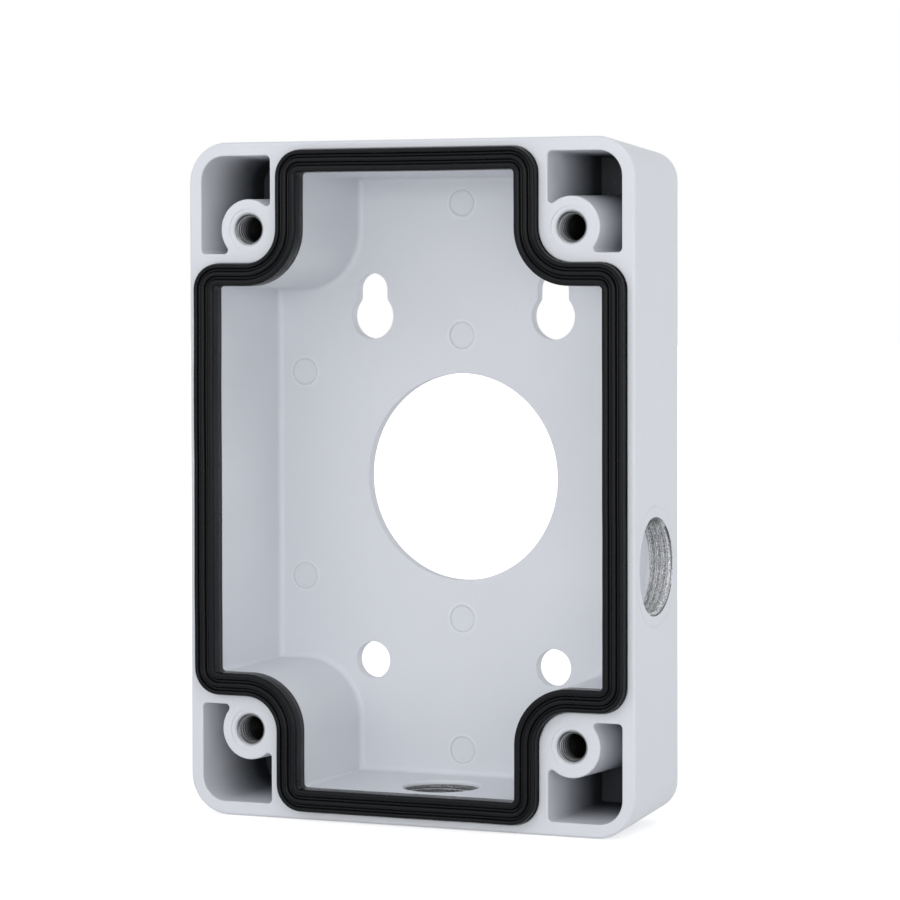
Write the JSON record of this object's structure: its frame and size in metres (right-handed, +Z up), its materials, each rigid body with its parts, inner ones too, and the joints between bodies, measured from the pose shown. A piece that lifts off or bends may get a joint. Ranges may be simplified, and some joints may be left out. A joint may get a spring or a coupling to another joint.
{
  "type": "camera junction box",
  "caption": "Die-cast rectangular junction box with an open front, ribbed rubber seal, tapped corner bosses, keyholes and threaded conduit entries, for mounting a camera.",
  "frame": {"origin": "centre of the cable hole in the plane of the back mounting face", "axes": "+Z up, +Y out of the back face towards the wall, so the open front faces -Y; +X to the right seen from the front"},
  "size_m": [0.1248, 0.04, 0.1748],
  "materials": {
    "housing": "satin off-white powder coat on cast aluminium, bare metal in the threads",
    "gasket": "soft satin black rubber"
  },
  "bodies": {
    "root": {"housing": "housing", "gasket": "gasket"}
  },
  "joints": []
}
